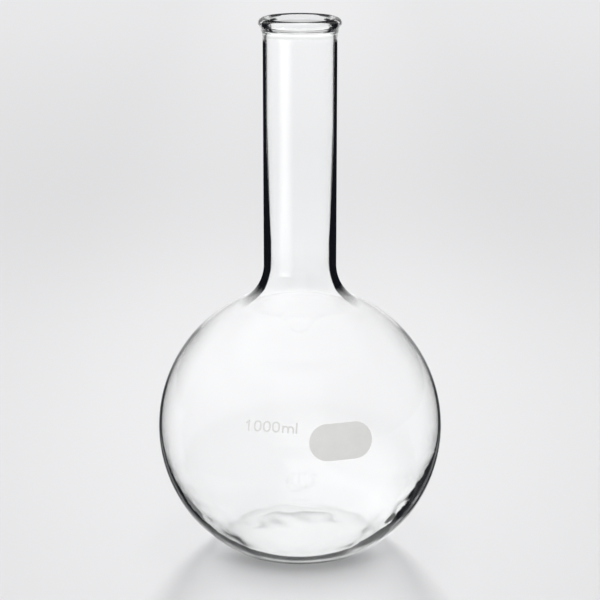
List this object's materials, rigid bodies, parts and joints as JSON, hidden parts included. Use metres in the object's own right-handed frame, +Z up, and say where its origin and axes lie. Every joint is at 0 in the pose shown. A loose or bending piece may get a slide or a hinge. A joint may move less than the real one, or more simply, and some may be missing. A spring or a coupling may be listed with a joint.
{
  "type": "flat-bottomed flask",
  "caption": "Flat-bottomed round glass flask with a long straight neck, a beaded rim, a fired capacity mark and a writing patch.",
  "frame": {"origin": "centre of the face the flask stands on", "axes": "+Z up along the neck, -Y towards the front, where the capacity mark and the writing patch are"},
  "size_m": [0.131, 0.131, 0.245],
  "materials": {
    "glass": "clear borosilicate glass, fire-polished",
    "enamel": "fired white enamel, satin, opaque"
  },
  "bodies": {
    "root": {"rim_bead": "glass", "neck_tube": "glass", "neck_root": "glass", "upper_bulb": "glass", "lower_bulb": "glass", "base": "glass", "capacity_digit_one": "enamel", "capacity_zeros": "enamel", "unit_letter_m": "enamel", "unit_letter_l": "enamel", "writing_patch": "enamel"}
  },
  "joints": []
}
